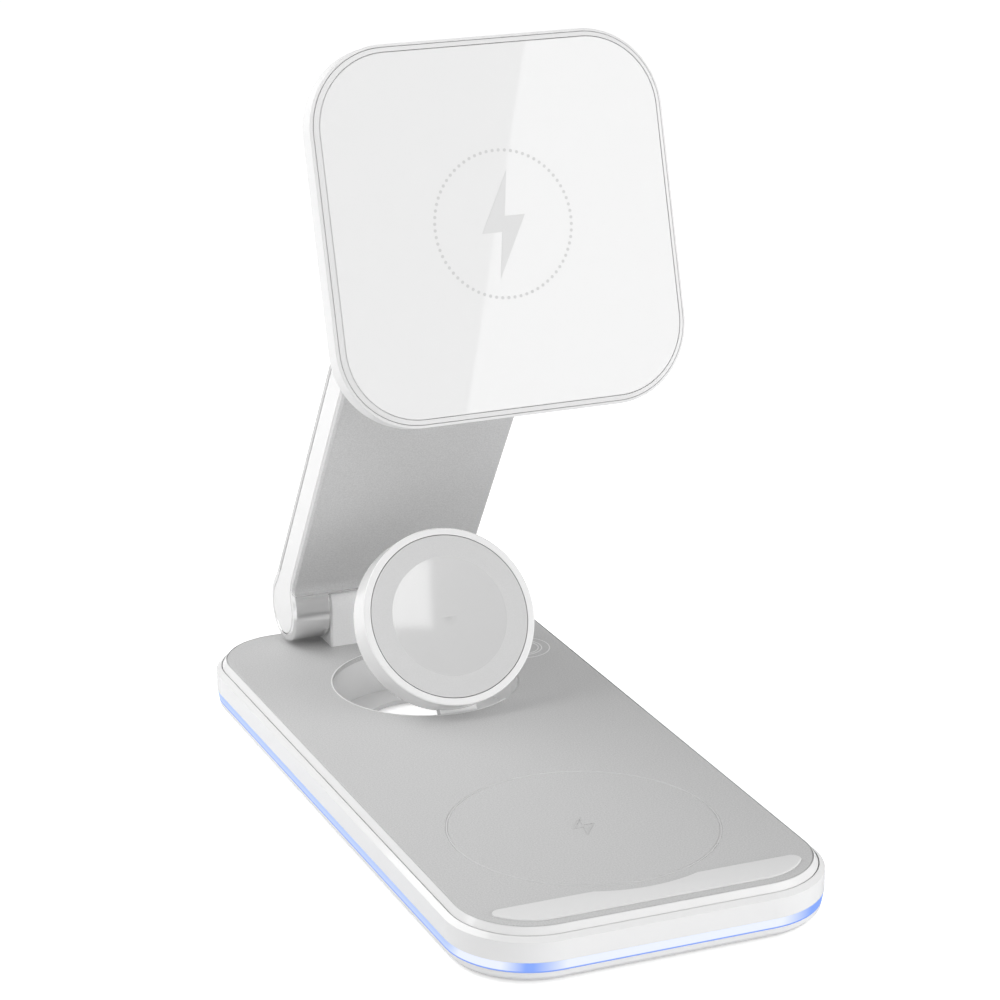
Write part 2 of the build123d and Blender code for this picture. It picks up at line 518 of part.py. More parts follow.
def pad_parts():
    """Glass, rim, shell and inner pieces of the phone pad, made face up and then tilted."""
    groove_in = PAD_GROOVE_INSET + PAD_GROOVE_WIDTH / 2
    groove_out = PAD_GROOVE_INSET - PAD_GROOVE_WIDTH / 2
    glass_inset = PAD_LEDGE + PAD_RIM
    rim_low = -PAD_GLASS_THICK - PAD_RIM_FLOOR
    glass = pad_slab(glass_inset, -PAD_GLASS_THICK, 0)
    glass = chamfer(glass.edges().group_by(Axis.Z)[-1], PAD_GLASS_EDGE)

    rim_top = glass_inset - PAD_GLASS_GAP
    rim = pad_slab(groove_in, rim_low, -PAD_RIM_DROP)
    rim += loft([Pos(0, 0, -PAD_RIM_DROP) * pad_outline(groove_in), pad_outline(rim_top)])
    rim -= pad_slab(rim_top, -PAD_GLASS_THICK, 0)
    rim -= pad_slab(glass_inset + PAD_RIM_LIP, rim_low, -PAD_GLASS_THICK)

    ledge_low = -PAD_RIM_DROP - PAD_LEDGE_DROP
    shell = pad_slab(0, -PAD_THICK, ledge_low)
    shell = fillet(shell.edges().group_by(Axis.Z)[0], PAD_BACK_ROUND)
    shell += loft([Pos(0, 0, ledge_low) * pad_outline(0), Pos(0, 0, -PAD_RIM_DROP) * pad_outline(groove_out)])
    shell -= pad_slab(groove_out, rim_low, -PAD_RIM_DROP)
    floor = -PAD_THICK + PAD_BACK
    shell -= pad_slab(PAD_WALL, floor, rim_low)

    coil_low = -PAD_GLASS_THICK - PAD_COIL_THICK
    coil = disc(PAD_COIL_OUTER, coil_low, -PAD_GLASS_THICK) - disc(PAD_COIL_INNER, coil_low, -PAD_GLASS_THICK)
    ferrite = disc(PAD_COIL_OUTER, coil_low - FERRITE_THICK, coil_low)
    board = block(PAD_BOARD_WIDTH, PAD_BOARD_LENGTH, floor, floor + BOARD_THICK, y=PAD_BOARD_Y)

    step = 360 / MAGNET_COUNT
    sweep = step * MAGNET_FILL
    outer = MAGNET_INNER + MAGNET_WIDTH
    ring = Circle(outer) - Circle(MAGNET_INNER)
    half_wedge = outer * 2 * sin(radians(sweep / 2))
    far = outer * 2 * cos(radians(sweep / 2))
    wedge = make_face(Polyline((0, 0), (far, -half_wedge), (far, half_wedge), close=True))
    magnet = Pos(0, 0, -PAD_GLASS_THICK - MAGNET_THICK) * extrude(ring & wedge, MAGNET_THICK)
    magnets = Compound([Rot(0, 0, i * step) * magnet for i in range(MAGNET_COUNT)])

    axis_z = -PAD_THICK - PAD_STANDOFF
    side = Plane(origin=(-BLOCK_WIDTH / 2, 0, axis_z), x_dir=(0, 1, 0), z_dir=(1, 0, 0))
    profile = Circle(BLOCK_ROUND) + Pos(0, PAD_STANDOFF / 2) * Rectangle(2 * BLOCK_ROUND, PAD_STANDOFF)
    stalk = side.location * extrude(profile, BLOCK_WIDTH)
    side_edges = stalk.edges().group_by(Axis.X)
    stalk = chamfer(side_edges[0] + side_edges[-1], BLOCK_EDGE)
    stalk -= cross_pin(PIN_RADIUS + PIN_FIT, BLOCK_WIDTH, 0, axis_z)
    screw = disc(HINGE_SCREW_RADIUS, -PAD_THICK - HINGE_SCREW_GRIP, floor)
    screw += disc(HINGE_SCREW_HEAD_RADIUS, floor, floor + PAD_SCREW_HEAD)
    screws = []
    for hand in (-1, 1):
        x = hand * HINGE_SCREW_X
        hole = disc(HINGE_SCREW_RADIUS + PIN_FIT, -PAD_THICK - HINGE_SCREW_GRIP, floor, x)
        stalk -= hole
        shell -= hole
        screws.append(Pos(x, 0, 0) * screw)

    pieces = {
        "pad_glass": glass,
        "pad_rim": rim,
        "pad_shell": shell,
        "pad_coil": coil,
        "pad_ferrite": ferrite,
        "pad_magnets": magnets,
        "pad_board": board,
        "pad_hinge_block": stalk,
        "pad_hinge_screws": Compound(screws),
    }
    placed = {name: PAD_PLANE.location * solid for name, solid in pieces.items()}
    placed["pad_hinge_pin"] = hinge_pin(PAD_AXIS_POINT.Y, PAD_AXIS_POINT.Z)
    placed["pad_hinge_washers"] = hinge_washers(PAD_AXIS_POINT.Y, PAD_AXIS_POINT.Z)
    return placed


def lug_profile():
    """Side view of the puck's lug: a barrel on the hinge and a neck that dips under the plate."""
    back = PUCK_RISE - PUCK_THICK
    inner = -LUG_DROP + LUG_BARREL + LUG_SWEEP_GAP
    neck = Polyline(
        (-LUG_BARREL, 0),
        (LUG_BARREL, -LUG_DROP),
        (LUG_REACH + LUG_BARREL, -LUG_DROP),
        (LUG_REACH + 2 * LUG_BARREL, back),
        (LUG_REACH + 2 * LUG_BARREL, inner),
        (LUG_REACH - LUG_BARREL, inner),
        (LUG_BARREL, 0),
        close=True,
    )
    return Circle(LUG_BARREL) + make_face(neck)


def puck_parts():
    """Shell with its lug, face and inner pieces of the watch puck, made face up and then tilted."""
    shell = disc(PUCK_RADIUS, -PUCK_THICK, 0)
    shell = fillet(shell.edges().group_by(Axis.Z)[0], PUCK_BACK_ROUND)
    shell = fillet(shell.edges().group_by(Axis.Z)[-1], PUCK_EDGE)
    side = Plane(
        origin=(-LUG_WIDTH / 2, -PUCK_REACH, -PUCK_RISE), x_dir=(0, 1, 0), z_dir=(1, 0, 0)
    )
    shell += side.location * extrude(lug_profile(), LUG_WIDTH)
    shell -= cross_pin(LUG_PIN_RADIUS + PIN_FIT, LUG_WIDTH, -PUCK_REACH, -PUCK_RISE)
    shell -= disc(FACE_RADIUS + FACE_FIT, -FACE_THICK, 0)
    shell -= disc(FACE_RADIUS - FACE_SHOULDER, -PUCK_THICK + PUCK_BACK, -FACE_THICK)

    ball = (DISH_RADIUS**2 + DISH_DEPTH**2) / (2 * DISH_DEPTH)
    face = disc(FACE_RADIUS, -FACE_THICK, 0) - Pos(0, 0, ball - DISH_DEPTH) * Sphere(ball)
    coil_low = -FACE_THICK - PUCK_COIL_THICK
    coil = disc(PUCK_COIL_OUTER, coil_low, -FACE_THICK) - disc(PUCK_COIL_INNER, coil_low, -FACE_THICK)
    magnet = disc(PUCK_MAGNET_RADIUS, coil_low, -FACE_THICK)
    ferrite = disc(PUCK_COIL_OUTER + FERRITE_OVERHANG, coil_low - FERRITE_THICK, coil_low)
    pieces = {
        "puck_shell": shell,
        "puck_face": face,
        "puck_coil": coil,
        "puck_magnet": magnet,
        "puck_ferrite": ferrite,
    }
    return {name: PUCK_PLANE.location * solid for name, solid in pieces.items()}


def puck_hinge_parts():
    """Pin of the puck's hinge and the clip that holds it up under the deck."""
    pin = cross_pin(LUG_PIN_RADIUS, LUG_PIN_LENGTH, PUCK_AXIS_Y, PUCK_AXIS_Z)
    front = PUCK_AXIS_Y - CLIP_FRONT
    rear = PUCK_AXIS_Y + CLIP_REAR
    clip = block(CLIP_WIDTH, rear - front, Z_DECK - CLIP_THICK, Z_DECK, y=(front + rear) / 2)
    clip -= block(LUG_SLOT, 2 * (rear - LUG_SLOT_FRONT), Z_DECK - CLIP_THICK, Z_DECK, y=rear)
    clip -= cross_pin(LUG_PIN_RADIUS + PIN_FIT, LUG_PIN_LENGTH + 2 * PIN_END_GAP, PUCK_AXIS_Y, PUCK_AXIS_Z)
    return {"watch_hinge_pin": pin, "watch_hinge_clip": clip}


def main():
    os.makedirs("parts", exist_ok=True)
    groups = (base_parts, base_inner_parts, base_hinge_parts, arm_parts, pad_parts, puck_parts, puck_hinge_parts)
    for group in groups:
        for name, solid in group().items():
            export_step(solid, f"parts/{name}.step")
            print(name, len(solid.solids()), round(solid.volume, 1))


main()
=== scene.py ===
# %% [markdown]
# The object is a folding desk charger for a phone, a watch and an earbud case. Its solids come from
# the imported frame, in metres, and they stay where they are. This lesson gives every solid a finish
# and models the soft and printed pieces that the solids don't carry.

# %% Load the fixed frame
import json
from math import cos, pi, radians, sin

import bmesh
import bpy
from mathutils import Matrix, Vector


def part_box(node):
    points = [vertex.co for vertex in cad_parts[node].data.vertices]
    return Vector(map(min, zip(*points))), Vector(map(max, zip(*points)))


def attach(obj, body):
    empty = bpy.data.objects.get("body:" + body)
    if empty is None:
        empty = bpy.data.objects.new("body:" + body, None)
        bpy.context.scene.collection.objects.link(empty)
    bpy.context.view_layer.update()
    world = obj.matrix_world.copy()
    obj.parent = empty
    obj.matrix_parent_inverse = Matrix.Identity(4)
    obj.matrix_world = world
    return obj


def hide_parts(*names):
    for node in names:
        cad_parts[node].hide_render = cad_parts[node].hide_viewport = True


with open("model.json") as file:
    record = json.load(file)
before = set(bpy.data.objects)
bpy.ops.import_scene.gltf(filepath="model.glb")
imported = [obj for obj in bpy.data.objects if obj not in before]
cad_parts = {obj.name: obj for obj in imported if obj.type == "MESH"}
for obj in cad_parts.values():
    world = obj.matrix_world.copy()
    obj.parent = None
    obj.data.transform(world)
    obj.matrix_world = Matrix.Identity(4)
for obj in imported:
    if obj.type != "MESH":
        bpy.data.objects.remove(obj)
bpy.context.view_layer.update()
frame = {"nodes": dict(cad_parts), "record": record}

MM = 0.001
record = frame["record"]
slot_of_node = {part["node"]: part["material_slot"] for part in record["subparts"]}
mounts = {mount["name"]: mount for mount in record["mounts"]}

# %% [markdown]
# The camera stands where the photographer's stood: a little to the left, about twenty degrees up, with
# a long lens. The lens is shifted, not tilted, so upright edges keep their slight lean. A camera that
# looks at a target is easiest to place with two angles and a distance.

# %% Camera
CAMERA_TARGET = Vector((0.0, -0.28, 50.8)) * MM
CAMERA_AZIMUTH = radians(-23.06)
CAMERA_ELEVATION = radians(19.842)
CAMERA_DISTANCE = 641.68 * MM
LENS = 119.34
SENSOR = 36.0
LENS_SHIFT_UP = 0.0583


def direction(azimuth, elevation):
    """Unit vector from the object towards an azimuth and an elevation; azimuth 0 is the front."""
    return Vector((sin(azimuth) * cos(elevation), -cos(azimuth) * cos(elevation), sin(elevation)))


toward_camera = direction(CAMERA_AZIMUTH, CAMERA_ELEVATION)
bpy.ops.object.select_all(action="DESELECT")
bpy.ops.object.camera_add(location=CAMERA_TARGET + toward_camera * CAMERA_DISTANCE)
camera = bpy.context.object
camera.rotation_euler = (-toward_camera).to_track_quat("-Z", "Y").to_euler()
camera.data.lens = LENS
camera.data.sensor_width = SENSOR
camera.data.shift_y = LENS_SHIFT_UP
bpy.context.scene.camera = camera
print("camera at", [round(v, 3) for v in camera.location])

# %% [markdown]
# The light tent and the finishes are both networks of shader nodes. Adding a node, setting its values and
# linking its inputs is always the same work, so one helper does all three.

# %% Node helper


def node(tree, kind, inputs=None, **settings):
    """Adds a shader node; an input takes a value or another node's output socket."""
    made = tree.nodes.new(kind)
    for key, value in settings.items():
        setattr(made, key, value)
    for key, value in (inputs or {}).items():
        if isinstance(value, bpy.types.NodeSocket):
            tree.links.new(value, made.inputs[key])
        else:
            made.inputs[key].default_value = value
    return made


# %% [markdown]
# White goods on white are photographed in a tent that is darker above, behind and at both sides, so that
# their edges turn grey and stand out. The tent is the world's background. Its brightness falls from the
# horizon to the zenith, and again towards the sides and the back. The camera itself sees plain white
# behind the object.

# %% Light tent
HORIZON_BRIGHTNESS = 1.44
ZENITH_BRIGHTNESS = 0.50
BACK_SHARE = 0.40
SIDE_SHARES = ((0.0, 0.52), (0.5, 1.0), (1.0, 0.70))
scene = bpy.context.scene
scene.view_settings.view_transform = "Standard"
world = bpy.data.worlds.new("white_tent")
scene.world = world
world.use_nodes = True
tent = world.node_tree
toward_sky = node(tent, "ShaderNodeTexCoord")
axes = node(tent, "ShaderNodeSeparateXYZ", {0: toward_sky.outputs["Generated"]})
brightness = node(
    tent,
    "ShaderNodeMapRange",
    {"Value": axes.outputs["Z"], "To Min": HORIZON_BRIGHTNESS, "To Max": ZENITH_BRIGHTNESS},
)
from_left = node(tent, "ShaderNodeMapRange", {"Value": axes.outputs["X"], "From Min": -1.0})
share = node(tent, "ShaderNodeValToRGB", {"Fac": from_left.outputs[0]})
share.color_ramp.elements.new(0.5)
for stop, (position, value) in zip(share.color_ramp.elements, SIDE_SHARES):
    stop.position = position
    stop.color = (value, value, value, 1.0)
behind = node(tent, "ShaderNodeMapRange", {"Value": axes.outputs["Y"], "To Min": 1.0, "To Max": BACK_SHARE})
shaded = node(tent, "ShaderNodeMath", {0: brightness.outputs[0], 1: share.outputs[0]}, operation="MULTIPLY")
dimmed = node(tent, "ShaderNodeMath", {0: shaded.outputs[0], 1: behind.outputs[0]}, operation="MULTIPLY")
seen_by = node(tent, "ShaderNodeLightPath")
seen = node(
    tent, "ShaderNodeMath", {0: dimmed.outputs[0], 1: seen_by.outputs["Is Camera Ray"]}, operation="MAXIMUM"
)
tent.links.new(seen.outputs[0], tent.nodes["Background"].inputs["Strength"])
tent.nodes["Background"].inputs["Color"].default_value = (1.0, 1.0, 1.0, 1.0)
print("tent", HORIZON_BRIGHTNESS, "at the horizon and", ZENITH_BRIGHTNESS, "above")

# %% [markdown]
# A near softbox behind on the left gives the plate its soft fall of light, and a fill from the front shows
# in no reflection. A card on the right does the opposite: it lights nothing, and shows only as a straight
# edged reflection in the glass, the watch dish and the metal. Lengths are in metres and power in watts.

# %% Softboxes
SOFTBOXES = {
    "left": {
        "azimuth": -125,
        "elevation": 40,
        "distance": 0.45,
        "size": (0.45, 0.35),
        "roll": 0,
        "power": 1.45,
        "lights": True,
        "mirrored": True,
    },
    "front": {
        "azimuth": 45,
        "elevation": 12,
        "distance": 1.5,
        "size": (1.2, 1.0),
        "roll": 0,
        "power": 10.5,
        "lights": True,
        "mirrored": False,
    },
    "front_right": {
        "azimuth": 44.75,
        "elevation": 14,
        "distance": 1.3,
        "size": (1.0, 0.644),
        "roll": -29,
        "power": 3.2,
        "lights": False,
        "mirrored": True,
    },
}

for name, box in SOFTBOXES.items():
    toward = direction(radians(box["azimuth"]), radians(box["elevation"]))
    bpy.ops.object.light_add(type="AREA", location=CAMERA_TARGET + toward * box["distance"])
    softbox = bpy.context.object
    softbox.name = "softbox_" + name
    softbox.rotation_euler = (-toward).to_track_quat("-Z", "Y").to_euler()
    softbox.rotation_euler.rotate_axis("Z", radians(box["roll"]))
    softbox.data.shape = "RECTANGLE"
    softbox.data.size, softbox.data.size_y = box["size"]
    softbox.data.energy = box["power"]
    softbox.visible_camera = False
    softbox.visible_diffuse = box["lights"]
    softbox.visible_glossy = box["mirrored"]
    print("softbox", name, "at", [round(v, 2) for v in softbox.location])

# %% [markdown]
# The object stands on a wide floor.

# %% Floor
FLOOR_SIZE = 8.0
bpy.ops.object.select_all(action="DESELECT")
bpy.ops.mesh.primitive_plane_add(size=FLOOR_SIZE, location=(0.0, 0.0, 0.0))
floor = bpy.context.object
floor.name = "floor"
print("floor is", FLOOR_SIZE, "m wide")

# %% [markdown]
# A node group is a small network of shader nodes that several finishes share. These two helpers start one
# and join its results to its exit.

# %% Node group helpers


def new_group(name, inputs, outputs):
    """Starts a shader node group with named sockets; returns its tree, its entry and its exit."""
    tree = bpy.data.node_groups.new(name, "ShaderNodeTree")
    for label, kind, value in inputs:
        socket = tree.interface.new_socket(label, in_out="INPUT", socket_type="NodeSocket" + kind)
        socket.default_value = value
    for label, kind in outputs:
        tree.interface.new_socket(label, in_out="OUTPUT", socket_type="NodeSocket" + kind)
    return tree, tree.nodes.new("NodeGroupInput"), tree.nodes.new("NodeGroupOutput")


def link_out(tree, end, **sockets):
    """Joins sockets to the exit of a group; an underscore in a name stands for a space."""
    for label, socket in sockets.items():
        tree.links.new(socket, end.inputs[label.replace("_", " ")])


# %% [markdown]
# Paint, blasted metal and moulded plastic all have a fine grain that is only just visible: the colour
# shimmers by a few percent and the surface is not quite flat. One group makes both from the same noise,
# so that light and dark specks sit on the bumps. The grain's size is given in millimetres.

# %% Group: fine grain
GRAIN_DETAIL = 2.0
GRAIN_ROUGHNESS = 0.65
NOISE_MIDDLE = 0.5


def build_fine_grain():
    """Colour that shimmers and a height for bump, from one fine noise."""
    tree, start, end = new_group(
        "Fine grain",
        [("Color", "Color", (0.5, 0.5, 0.5, 1.0)), ("Grain mm", "Float", 0.3), ("Contrast", "Float", 0.05)],
        [("Color", "Color"), ("Height", "Float")],
    )
    place = node(tree, "ShaderNodeTexCoord")
    scale = node(tree, "ShaderNodeMath", {0: 1 / MM, 1: start.outputs["Grain mm"]}, operation="DIVIDE")
    grain = node(
        tree,
        "ShaderNodeTexNoise",
        {
            "Vector": place.outputs["Object"],
            "Scale": scale.outputs[0],
            "Detail": GRAIN_DETAIL,
            "Roughness": GRAIN_ROUGHNESS,
        },
    )
    swing = node(tree, "ShaderNodeMath", {0: grain.outputs[0], 1: NOISE_MIDDLE}, operation="SUBTRACT")
    shimmer = node(
        tree,
        "ShaderNodeMath",
        {0: swing.outputs[0], 1: start.outputs["Contrast"], 2: 1.0},
        operation="MULTIPLY_ADD",
    )
    tinted = node(
        tree,
        "ShaderNodeVectorMath",
        {0: start.outputs["Color"], "Scale": shimmer.outputs[0]},
        operation="SCALE",
    )
    link_out(tree, end, Color=tinted.outputs[0], Height=grain.outputs[0])
    return tree


fine_grain = build_fine_grain()
print("group", fine_grain.name, [item.name for item in fine_grain.interface.items_tree])

# %% [markdown]
# A handled surface is never evenly glossy. Soft clouds a few centimetres wide make some places a little
# rougher than others, as fingers and wiping do. The group takes the middle roughness and how far it
# swings, and puts out a roughness for every point.

# %% Group: handled gloss
CLOUD_DETAIL = 3.0


def build_handled_gloss():
    """Roughness that drifts in soft clouds round a middle value."""
    tree, start, end = new_group(
        "Handled gloss",
        [("Roughness", "Float", 0.3), ("Swing", "Float", 0.1), ("Cloud mm", "Float", 25.0)],
        [("Roughness", "Float")],
    )
    place = node(tree, "ShaderNodeTexCoord")
    scale = node(tree, "ShaderNodeMath", {0: 1 / MM, 1: start.outputs["Cloud mm"]}, operation="DIVIDE")
    cloud = node(
        tree,
        "ShaderNodeTexNoise",
        {"Vector": place.outputs["Object"], "Scale": scale.outputs[0], "Detail": CLOUD_DETAIL},
    )
    drift = node(tree, "ShaderNodeMath", {0: cloud.outputs[0], 1: NOISE_MIDDLE}, operation="SUBTRACT")
    rough = node(
        tree,
        "ShaderNodeMath",
        {0: drift.outputs[0], 1: start.outputs["Swing"], 2: start.outputs["Roughness"]},
        operation="MULTIPLY_ADD",
        use_clamp=True,
    )
    link_out(tree, end, Roughness=rough.outputs[0])
    return tree


handled_gloss = build_handled_gloss()
print("group", handled_gloss.name)

# %% [markdown]
# No moulded or machined edge is razor sharp. The solids have their real chamfers, and this group rounds
# what is left of each edge by a fraction of a millimetre, so that it catches a thin line of light.

# %% Group: soft edges
EDGE_RAYS = 6


def build_soft_edges():
    """A normal that is rounded across sharp edges."""
    tree, start, end = new_group("Soft edges", [("Radius mm", "Float", 0.2)], [("Normal", "Vector")])
    radius = node(tree, "ShaderNodeMath", {0: start.outputs["Radius mm"], 1: MM}, operation="MULTIPLY")
    rounded = node(tree, "ShaderNodeBevel", {"Radius": radius.outputs[0]}, samples=EDGE_RAYS)
    link_out(tree, end, Normal=rounded.outputs[0])
    return tree


soft_edges = build_soft_edges()
print("group", soft_edges.name)

# %% [markdown]
# Most finishes differ only in their numbers: colour, gloss, metal or not, grain and edge. One function
# therefore joins the three groups to a shader. Plain numbers that hold all over a surface are set on the
# shader itself.

# %% Finish builder


def group_node(tree, group, **inputs):
    """Places a node group in a material; an underscore in a name stands for a space."""
    made = tree.nodes.new("ShaderNodeGroup")
    made.node_tree = group
    for label, value in inputs.items():
        socket = made.inputs[label.replace("_", " ")]
        if isinstance(value, bpy.types.NodeSocket):
            tree.links.new(value, socket)
        else:
            socket.default_value = value
    return made


def grey(value):
    """An even grey as a colour."""
    return (value, value, value, 1.0)


def finish(name, color, rough, swing=0.06, grain=0.3, contrast=0.04, bump=0.02, edge=0.2, **shader_values):
    """A material with fine grain, handled gloss and soft edges; bump is the grain's depth in millimetres."""
    material = bpy.data.materials.new(name)
    material.use_nodes = True
    tree = material.node_tree
    shader = tree.nodes["Principled BSDF"]
    grained = group_node(tree, fine_grain, Color=color, Grain_mm=grain, Contrast=contrast)
    gloss = group_node(tree, handled_gloss, Roughness=rough, Swing=swing)
    edges = group_node(tree, soft_edges, Radius_mm=edge)
    relief = node(
        tree,
        "ShaderNodeBump",
        {
            "Strength": 1.0,
            "Distance": bump * MM,
            "Height": grained.outputs["Height"],
            "Normal": edges.outputs["Normal"],
        },
    )
    tree.links.new(grained.outputs["Color"], shader.inputs["Base Color"])
    tree.links.new(gloss.outputs["Roughness"], shader.inputs["Roughness"])
    tree.links.new(relief.outputs["Normal"], shader.inputs["Normal"])
    for label, value in shader_values.items():
        shader.inputs[label.replace("_", " ")].default_value = value
    return material


# %% [markdown]
# The base plate is plastic with a satin silver paint. The hinge blocks get a lighter copy of the silver
# metal, which is painted light against the shade they stand in. The shells are white plastic, polished
# where they show and textured where they don't.

# %% Finishes of the casing
finishes = {
    "satin_silver_plastic": finish(
        "satin_silver_paint",
        grey(0.56),
        0.50,
        grain=0.3,
        contrast=0.55,
        bump=0.004,
        edge=0.06,
        Specular_IOR_Level=0.3,
    ),
    "white_gloss": finish(
        "polished_white_plastic",
        grey(0.80),
        0.20,
        grain=1.4,
        contrast=0.012,
        bump=0.002,
        edge=0.12,
        Coat_Weight=0.3,
    ),
    "white_satin": finish(
        "textured_white_plastic", grey(0.80), 0.42, grain=0.25, contrast=0.03, bump=0.008, edge=0.3
    ),
    "silicone": finish("soft_silicone", grey(0.735), 0.62, grain=0.18, contrast=0.05, bump=0.006, edge=0.1),
    "rubber": finish("foot_rubber", grey(0.24), 0.78, grain=0.3, contrast=0.12, bump=0.015, edge=0.2),
    "steel": finish("turned_steel", grey(0.58), 0.30, grain=0.35, contrast=0.10, bump=0.002, Metallic=1.0),
    "magnet": finish("nickel_plate", grey(0.70), 0.16, grain=0.6, contrast=0.05, bump=0.001, Metallic=1.0),
    "ferrite": finish("pressed_ferrite", grey(0.035), 0.70, grain=0.25, contrast=0.5, bump=0.01),
    "white_glass": finish(
        "back_painted_glass",
        grey(0.79),
        0.015,
        swing=0.01,
        grain=2.5,
        contrast=0.006,
        bump=0.0,
        edge=0.1,
        IOR=1.52,
    ),
}
# painted light: a lighter copy of the silver metal for the hinge blocks, brightening them against the shade
# of the pad and the puck
lit_silver_copy = finish("lit_silver_copy", grey(0.90), 0.36, grain=0.3, contrast=0.2, bump=0.003, Metallic=0.1)
print("finishes", sorted(finishes))

# %% [markdown]
# The light strip is a milky bar lit from inside by a row of lamps. It glows blue along the sides, deepest
# at a lamp in each corner and almost white between the lamps, with a thin line of deeper blue at its
# foot. A pale band on the rounded left corner is a painted reflection, the glint of the left softbox.
# The glow depends only on the place from left to right, so one colour ramp gives it.

# %% Finish of the light strip
STRIP_LOW, STRIP_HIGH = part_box("light_strip")
SIDE_GLOW = (0.46, 0.59, 0.99, 1.0)
DEEP_GLOW = (0.25, 0.40, 0.97, 1.0)
PALE_GLOW_AND_GLINT = (0.85, 0.89, 1.0, 1.0)
GLOW_STOPS = (
    (0.0, SIDE_GLOW),
    # painted reflection: the pale band from 0.012 to 0.078, on the rounded left corner, is the left softbox's
    # glint put into the glow
    (0.012, PALE_GLOW_AND_GLINT),
    (0.078, PALE_GLOW_AND_GLINT),
    (0.128, DEEP_GLOW),
    (0.145, DEEP_GLOW),
    (0.228, PALE_GLOW_AND_GLINT),
    (0.80, PALE_GLOW_AND_GLINT),
    (0.895, DEEP_GLOW),
    (0.97, DEEP_GLOW),
    (1.0, SIDE_GLOW),
)
FOOT_GLOW = (0.22, 0.36, 0.93, 1.0)
FOOT_LINE = 0.22 * MM
FOOT_LINE_END = 0.352 * MM
UNLIT_MILK = (0.02, 0.03, 0.05, 1.0)
GLOW_STRENGTH = 1.0


def build_strip_glow():
    """Milky plastic with a blue glow that changes from left to right."""
    material = finish(
        "lit_diffuser", UNLIT_MILK, 0.5, grain=0.8, contrast=0.02, bump=0.0, Specular_IOR_Level=0.0
    )
    tree = material.node_tree
    shader = tree.nodes["Principled BSDF"]
    place = node(tree, "ShaderNodeTexCoord")
    axes = node(tree, "ShaderNodeSeparateXYZ", {0: place.outputs["Object"]})
    ends = {"From Min": STRIP_LOW.x, "From Max": STRIP_HIGH.x}
    share = node(tree, "ShaderNodeMapRange", {"Value": axes.outputs["X"], **ends})
    glow = node(tree, "ShaderNodeValToRGB", {"Fac": share.outputs[0]})
    while len(glow.color_ramp.elements) < len(GLOW_STOPS):
        glow.color_ramp.elements.new(1.0)
    for stop, (position, color) in zip(glow.color_ramp.elements, GLOW_STOPS):
        stop.position = position
        stop.color = color
    foot = node(
        tree,
        "ShaderNodeMapRange",
        {
            "Value": axes.outputs["Z"],
            "From Min": STRIP_LOW.z + FOOT_LINE,
            "From Max": STRIP_LOW.z + FOOT_LINE_END,
            "To Min": 1.0,
            "To Max": 0.0,
        },
    )
    mixed = node(
        tree,
        "ShaderNodeMixRGB",
        {"Fac": foot.outputs[0], "Color1": glow.outputs["Color"], "Color2": FOOT_GLOW},
    )
    tree.links.new(mixed.outputs[0], shader.inputs["Emission Color"])
    shader.inputs["Emission Strength"].default_value = GLOW_STRENGTH
    return material


finishes["light_diffuser"] = build_strip_glow()
print("light strip glows between", [round(v / MM, 2) for v in (STRIP_LOW.z, STRIP_HIGH.z)])

# %% [markdown]
# The watch puck's face is one moulding with two finishes: a satin ring and a polished hollow dish. A
# distance from the dish's middle tells them apart, so the border is a true circle from every side.

# %% Finish of the watch face
PUCK_TILT = radians(60)
FACE_THICK = 1.4 * MM
DISH_RADIUS = 12.3 * MM
DISH_BORDER = 0.08 * MM
DISH_COAT_IOR = 1.84
DISH_COAT_ROUGHNESS = 0.09
DISH_ROUGHNESS = 0.06
RING_GREY = grey(0.59)
DISH_GREY = grey(0.57)
face_low, face_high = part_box("puck_face")
puck_normal = Vector((0.0, -sin(PUCK_TILT), cos(PUCK_TILT)))
puck_centre = (face_low + face_high) / 2 + puck_normal * FACE_THICK / 2


def distance_from(tree, centre, axes=(1.0, 1.0, 1.0)):
    """Socket with the distance of each point from a centre, in metres; an axis with 0 doesn't count."""
    place = node(tree, "ShaderNodeTexCoord")
    shifted = node(tree, "ShaderNodeMapping", {"Vector": place.outputs["Object"], "Location": -centre})
    counted = node(tree, "ShaderNodeVectorMath", {0: shifted.outputs[0], 1: axes}, operation="MULTIPLY")
    return node(tree, "ShaderNodeVectorMath", {0: counted.outputs[0]}, operation="LENGTH").outputs["Value"]


def fade(tree, distance, edge, border):
    """Socket that is 1 inside a distance and 0 outside it."""
    ends = {"From Min": edge - border, "From Max": edge, "To Min": 1.0, "To Max": 0.0}
    return node(tree, "ShaderNodeMapRange", {"Value": distance, **ends}).outputs[0]


def build_watch_face():
    """Satin grey plastic with a polished dish."""
    material = finish("watch_face", RING_GREY, 0.42, grain=0.25, contrast=0.14, bump=0.002, edge=0.08)
    tree = material.node_tree
    shader = tree.nodes["Principled BSDF"]
    satin = shader.inputs["Roughness"].links[0].from_socket
    dish = fade(tree, distance_from(tree, puck_centre), DISH_RADIUS, DISH_BORDER)
    rough = node(tree, "ShaderNodeMix", {"Factor": dish, "A": satin, "B": DISH_ROUGHNESS})
    tree.links.new(rough.outputs["Result"], shader.inputs["Roughness"])
    grained = shader.inputs["Base Color"].links[0].from_socket
    tone = node(tree, "ShaderNodeMixRGB", {"Fac": dish, "Color1": grained, "Color2": DISH_GREY})
    tree.links.new(tone.outputs["Color"], shader.inputs["Base Color"])
    tree.links.new(dish, shader.inputs["Coat Weight"])
    shader.inputs["Coat IOR"].default_value = DISH_COAT_IOR
    shader.inputs["Coat Roughness"].default_value = DISH_COAT_ROUGHNESS
    return material


finishes["grey_face"] = build_watch_face()
print("watch dish centre in mm", [round(v / MM, 2) for v in puck_centre])

# %% [markdown]
# The arm is blasted aluminium, so it is partly mirror and partly matt. Its lower end is a barrel that
# turns on the hinge pin, and a barrel is turned on a lathe: brighter, smoother and more of a mirror. The
# distance from the hinge axis tells the two apart.

